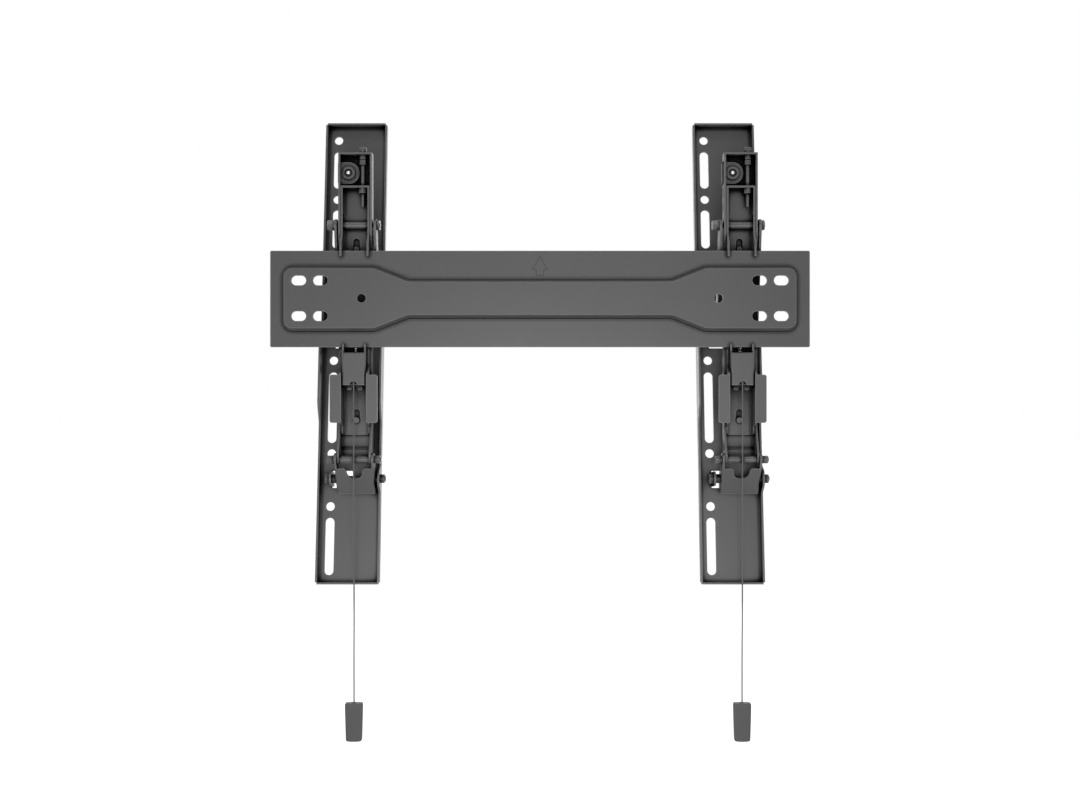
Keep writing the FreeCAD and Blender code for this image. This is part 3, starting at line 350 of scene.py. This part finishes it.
def woven_cord():
    """Braided cord: two crossing sets of slanted strands."""
    m = Nodes("woven_cord")
    heights = []
    for lean in (1.0, -1.0):
        mapping = m.add("ShaderNodeMapping")
        mapping.inputs["Rotation"].default_value = (0.0, lean * math.radians(BRAID_LEAN), 0.0)
        m.join(m.place, mapping.inputs["Vector"])
        wave = m.add("ShaderNodeTexWave", wave_type="BANDS", bands_direction="Z", Scale=320.0,
                     Distortion=0.4)
        m.join(mapping.outputs["Vector"], wave.inputs["Vector"])
        heights.append(wave.outputs["Fac"])
    mix = m.add("ShaderNodeMath", operation="MAXIMUM")
    for socket, height in zip(mix.inputs, heights):
        m.join(height, socket)
    strands = mix.outputs[0]
    m.feed("Base Color", m.mottled(strands, CORD_GREY, low=0.6, high=1.0))
    m.feed("Normal", m.bump(strands, strength=0.6, distance=0.12 * MM))
    m.hold("Roughness", 0.75)
    return m.material


def marking():
    """The arrow's slightly darker line."""
    m = Nodes("arrow_line")
    grain = m.noise(scale=POWDER_GRAIN_SCALE, detail=2.0)
    m.feed("Base Color", m.mottled(grain, POWDER_GREY, low=0.55, high=0.7))
    m.hold("Roughness", 0.6)
    return m.material


def sees_white(tree, *others):
    """1 for camera, glossy and transmission rays, which see a white background, or where
    another source is 1."""
    ray = tree.nodes.new("ShaderNodeLightPath")
    result = ray.outputs["Is Camera Ray"]
    for source in (ray.outputs["Is Glossy Ray"], ray.outputs["Is Transmission Ray"], *others):
        either = tree.nodes.new("ShaderNodeMath")
        either.operation = "MAXIMUM"
        tree.links.new(result, either.inputs[0])
        tree.links.new(source, either.inputs[1])
        result = either.outputs["Value"]
    return result


def pale_floor():
    """White to the camera, with room left for the bracket's soft shadow."""
    m = Nodes("pale_floor")
    cloud = m.noise(scale=0.6, detail=2.0)
    m.feed("Base Color", m.ramp(cloud, low=0.93, high=0.95))
    m.hold("Roughness", 0.9)
    glow = m.add("ShaderNodeMath", operation="MULTIPLY")
    glow.inputs[1].default_value = FLOOR_GLOW
    m.join(sees_white(m.tree), glow.inputs[0])
    m.hold("Emission Color", WHITE)
    m.feed("Emission Strength", glow.outputs["Value"])
    return m.material


def dress_nodes(frame, finishes):
    """Every carried-over piece takes the finish of its slot in the record."""
    slot_of = {part["node"]: part["material_slot"] for part in frame["record"]["subparts"]}
    for name, obj in frame["nodes"].items():
        obj.data.materials.clear()
        obj.data.materials.append(finishes[slot_of[name]])


# Studio

def add_camera():
    data = bpy.data.cameras.new("camera")
    data.sensor_width = SENSOR_WIDTH
    data.lens = SENSOR_WIDTH * FOCAL_PIXELS / FRAME_WIDTH
    data.clip_start = NEAR_CLIP
    data.clip_end = FAR_CLIP
    camera = new_object("camera", data)
    camera.location = CAMERA_AT
    camera.rotation_euler = (math.radians(90.0), 0.0, 0.0)
    bpy.context.scene.camera = camera


def add_floor(lowest):
    half = FLOOR_SIZE / 2 / MM
    z = (lowest - FLOOR_DROP) / MM
    corners = [(-half, -half, z), (half, -half, z), (half, half, z), (-half, half, z)]
    floor = mesh_object("floor", corners, [(0, 1, 2, 3)], smooth=False)
    floor.data.materials.append(pale_floor())


def add_light(name, place, target, size, watts, spread):
    data = bpy.data.lights.new(name, "AREA")
    data.shape = "RECTANGLE"
    data.size, data.size_y = size
    data.energy = watts
    data.spread = math.radians(spread)
    light = new_object(name, data)
    light.location = place
    light.rotation_euler = (Vector(target) - Vector(place)).to_track_quat("-Z", "Y").to_euler()
    light.visible_camera = False


def add_world():
    """White to the camera and in reflections; as light, a dim room with a white backdrop."""
    world = bpy.data.worlds.new("studio")
    bpy.context.scene.world = world
    world.use_nodes = True
    tree = world.node_tree
    nodes, links = tree.nodes, tree.links
    nodes.clear()
    output = nodes.new("ShaderNodeOutputWorld")
    seen, room = nodes.new("ShaderNodeBackground"), nodes.new("ShaderNodeBackground")
    mix, behind = nodes.new("ShaderNodeMixShader"), nodes.new("ShaderNodeMapRange")
    place, split = nodes.new("ShaderNodeTexCoord"), nodes.new("ShaderNodeSeparateXYZ")
    behind.inputs["From Min"].default_value = BACKDROP_FROM
    behind.inputs["From Max"].default_value = BACKDROP_FULL
    links.new(place.outputs["Generated"], split.inputs["Vector"])
    links.new(split.outputs["Y"], behind.inputs["Value"])
    room.inputs["Color"].default_value = WHITE
    room.inputs["Strength"].default_value = ROOM_LIGHT
    seen.inputs["Color"].default_value = WHITE
    seen.inputs["Strength"].default_value = 1.0
    links.new(sees_white(tree, behind.outputs["Result"]), mix.inputs["Fac"])
    links.new(room.outputs["Background"], mix.inputs[1])
    links.new(seen.outputs["Background"], mix.inputs[2])
    links.new(mix.outputs["Shader"], output.inputs["Surface"])


def add_lights():
    add_light("front_strip", place=(0.0, -1.15, -0.28), target=(0.0, 0.0, -0.22), size=(0.6, 0.5),
              watts=FRONT_WATTS, spread=FRONT_SPREAD)
    add_light("top_strip", place=(0.0, -0.25, 0.95), target=(0.0, 0.0, -0.1), size=(1.3, 0.25),
              watts=TOP_WATTS, spread=FULL_SPREAD)
    add_light("rear_panel", place=(0.0, 1.35, 0.1), target=(0.0, 0.0, -0.1), size=(1.4, 0.9),
              watts=REAR_WATTS, spread=FULL_SPREAD)
    for side, name in ((-1, "left_strip"), (1, "right_strip")):
        add_light(name, place=(side * 1.2, 0.15, -0.1), target=(0.0, 0.05, -0.1),
                  size=(0.25, 1.1), watts=SIDE_WATTS, spread=FULL_SPREAD)


# Pieces on the wall plate

def arrow_outline(inset):
    """Half the arrow's outline, from the tip down to the foot, moved inwards by inset."""
    slope = math.atan2(ARROW_HALF_HEAD, ARROW_TIP - ARROW_SHOULDER)
    tip = ARROW_TIP - inset / math.sin(slope)
    low = ARROW_SHOULDER + inset
    head = (tip - low) * math.tan(slope)
    stem = ARROW_HALF_STEM - inset
    return [(0.0, tip), (head, low), (stem, low), (stem, ARROW_FOOT + inset)]


def add_arrow(finish):
    """An outlined arrow on the plate's upper margin, as thick as a coat of paint."""
    face_y = arrow_face_y() - ARROW_DEPTH
    rings = []
    for inset in (0.0, ARROW_LINE):
        half = arrow_outline(inset)
        rings.append(half + [(-x, z) for x, z in reversed(half[1:])])
    count = len(rings[0])
    points = [(x, y, z) for y in (face_y, face_y + ARROW_DEPTH) for ring in rings for x, z in ring]
    faces = []
    for i in range(count):
        j = (i + 1) % count
        a, b, c, d = i, j, count + j, count + i
        low = 2 * count
        faces.append((a, b, c, d))
        faces.append((a, a + low, b + low, b))
        faces.append((d, c, c + low, d + low))
    arrow = mesh_object("up_arrow", points, faces, smooth=False)
    arrow.data.materials.append(finish)
    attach(arrow, "wall_plate")


def arrow_face_y():
    """Y of the margin's wall side, in mm: the plate's lowest vertex at its upper edge."""
    plate = bpy.data.objects["wall_plate"].data
    top = max(v.co.z for v in plate.vertices)
    return min(v.co.y for v in plate.vertices if v.co.z > top - MM) / MM


# Pieces on the arms

def thread(name, axis, centre, start, end, radius, pitch, finish, body):
    """A helical ridge round a shank, from start to end along axis ("x" or "z")."""
    rows = max(FEWEST_ROWS, int((end - start) / pitch * ROWS_PER_PITCH))
    points, faces = [], []
    for row in range(rows + 1):
        along = start + (end - start) * row / rows
        for step in range(THREAD_STEPS):
            turn = step / THREAD_STEPS
            phase = (along / pitch - turn) % 1.0
            r = radius - THREAD_ROOT + (THREAD_CREST + THREAD_ROOT) * (1.0 - abs(2.0 * phase - 1.0))
            if row in (0, rows):
                r = radius - THREAD_ROOT
            a, b = r * math.cos(2 * math.pi * turn), r * math.sin(2 * math.pi * turn)
            if axis == "z":
                points.append((centre[0] + a, centre[1] + b, along))
            else:
                points.append((along, centre[0] + a, centre[1] + b))
    for row in range(rows):
        for step in range(THREAD_STEPS):
            a = row * THREAD_STEPS + step
            b = row * THREAD_STEPS + (step + 1) % THREAD_STEPS
            face = (a, b, b + THREAD_STEPS, a + THREAD_STEPS)
            faces.append(face if axis == "z" else face[::-1])
    obj = mesh_object(name, points, faces)
    obj.data.materials.append(finish)
    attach(obj, body)


def add_threads(side, finish):
    bolt_low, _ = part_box(side + "_level_bolt")
    nut_low, nut_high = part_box(side + "_level_nut")
    collar_low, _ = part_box(side + "_level_collars")
    centre = (middle(side + "_level_nut").x / MM, middle(side + "_level_nut").y / MM)
    body = side + "_level_bolt"
    thread(side + "_level_thread_upper", "z", centre, nut_high.z / MM + ABOVE_LEVEL_NUT,
           collar_low.z / MM - THREAD_GAP, LEVEL_SHANK, FINE_PITCH, finish, body)
    thread(side + "_level_thread_lower", "z", centre, bolt_low.z / MM + LEVEL_BOLT_TIP,
           nut_low.z / MM - THREAD_GAP, LEVEL_SHANK, FINE_PITCH, finish, body)
    for pivot, owner in (("upper_pivot", "hanger"), ("lower_pivot", "hanger"),
                         ("rail_pivot", "rail")):
        _, bolt_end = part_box(f"{side}_{pivot}_bolt")
        _, nut_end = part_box(f"{side}_{pivot}_nut")
        if bolt_end.x - nut_end.x > SHORTEST_SHOWN * MM:
            at = middle(f"{side}_{pivot}_nut")
            thread(f"{side}_{pivot}_thread", "x", (at.y / MM, at.z / MM), nut_end.x / MM,
                   bolt_end.x / MM - PIVOT_BOLT_TIP, PIVOT_SHANK, COARSE_PITCH, finish,
                   f"{side}_{owner}")


def add_cord(side, finish):
    x = arm_x(side)
    data = bpy.data.curves.new(side + "_cord_line", "CURVE")
    data.dimensions = "3D"
    data.bevel_depth = CORD_DIAMETER / 2 * MM
    data.bevel_resolution = 6
    data.use_fill_caps = True
    spline = data.splines.new("NURBS")
    spline.points.add(len(CORD_POINTS) - 1)
    for point, (px, py, pz) in zip(spline.points, CORD_POINTS):
        point.co = ((x + px) * MM, py * MM, pz * MM, 1.0)
    spline.order_u = 3
    spline.use_endpoint_u = True
    spline.resolution_u = 12
    cord = new_object(side + "_cord_line", data)
    data.materials.append(finish)
    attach(cord, side + "_latch")
    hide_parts(side + "_pull_cord")


def add_knot(side, finish):
    """The stopper knot: a small overhand knot drawn tight, where the plain one was."""
    low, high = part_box(side + "_cord_knot")
    centre = (low + high) / 2 / MM
    spread = (high.x - low.x) / MM / 2 - KNOT_ROOM
    data = bpy.data.curves.new(side + "_knot", "CURVE")
    data.dimensions = "3D"
    data.bevel_depth = KNOT_STRAND * MM
    data.bevel_resolution = 4
    spline = data.splines.new("NURBS")
    spline.points.add(KNOT_POINTS - 1)
    for i, point in enumerate(spline.points):
        t = 2 * math.pi * i / KNOT_POINTS
        reach = spread * (KNOT_MEAN + KNOT_SWING * math.cos(3 * t))
        point.co = ((centre.x + reach * math.cos(2 * t)) * MM,
                    (centre.y + reach * math.sin(2 * t)) * MM,
                    (centre.z + KNOT_RISE * math.sin(3 * t)) * MM, 1.0)
    spline.use_cyclic_u = True
    spline.order_u = 4
    knot = new_object(side + "_knot", data)
    data.materials.append(finish)
    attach(knot, side + "_latch")
    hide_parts(side + "_cord_knot")
    return knot


def add_handle(side, finish):
    """The grip: rounded all over, tapered downwards, with a crowned foot and a dimple on top."""
    low, high = (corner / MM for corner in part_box(side + "_pull_handle"))
    centre_x, centre_y = (low.x + high.x) / 2, (low.y + high.y) / 2
    half_x, half_y = (high.x - low.x) / 2, (high.y - low.y) / 2
    points, faces = [], []
    for share, wide, deep in GRIP_LEVELS:
        z = low.z + (high.z - low.z) * share
        for step in range(GRIP_STEPS):
            t = 2 * math.pi * step / GRIP_STEPS
            c, s = math.cos(t), math.sin(t)
            x = math.copysign(abs(c) ** GRIP_POWER, c) * half_x * wide
            y = math.copysign(abs(s) ** GRIP_POWER, s) * half_y * deep
            crown = CROWN_RISE * (x / half_x) ** 2 if share < CROWN_BELOW else 0.0
            points.append((centre_x + x, centre_y + y, z + crown))
    top = (len(GRIP_LEVELS) - 1) * GRIP_STEPS
    for ring in range(0, top, GRIP_STEPS):
        for step in range(GRIP_STEPS):
            a, b = ring + step, ring + (step + 1) % GRIP_STEPS
            faces.append((a, b, b + GRIP_STEPS, a + GRIP_STEPS))
    faces.append(tuple(reversed(range(GRIP_STEPS))))
    faces.append(tuple(range(top, top + GRIP_STEPS)))
    grip = mesh_object(side + "_grip", points, faces)
    smooth = grip.modifiers.new("smooth", "SUBSURF")
    smooth.levels = smooth.render_levels = 1
    grip.data.materials.append(finish)
    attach(grip, side + "_latch")
    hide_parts(side + "_pull_handle")
    return grip


with open("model.json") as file:
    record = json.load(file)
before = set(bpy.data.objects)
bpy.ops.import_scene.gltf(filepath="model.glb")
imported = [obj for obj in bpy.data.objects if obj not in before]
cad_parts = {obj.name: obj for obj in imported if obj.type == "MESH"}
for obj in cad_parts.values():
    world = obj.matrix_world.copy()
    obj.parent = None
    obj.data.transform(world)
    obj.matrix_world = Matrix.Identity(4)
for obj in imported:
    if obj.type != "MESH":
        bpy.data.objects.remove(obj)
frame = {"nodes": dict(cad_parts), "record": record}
cad_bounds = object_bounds()
add_camera()
finishes = {"powder_coat": powder_coat(), "black_zinc": black_zinc(), "bright_zinc": bright_zinc(),
            "cord": woven_cord(), "grip": moulded_grip()}
for arm in SIDES:
    stopper = add_knot(arm, finishes["cord"])
    pull = add_handle(arm, finishes["grip"])
    add_cord(arm, finishes["cord"])
dress_nodes(frame, finishes)
add_arrow(marking())
for arm in SIDES:
    add_threads(arm, finishes["black_zinc"])
add_world()
add_lights()
add_floor(cad_bounds[0].z)
bpy.context.scene.view_settings.view_transform = "Standard"
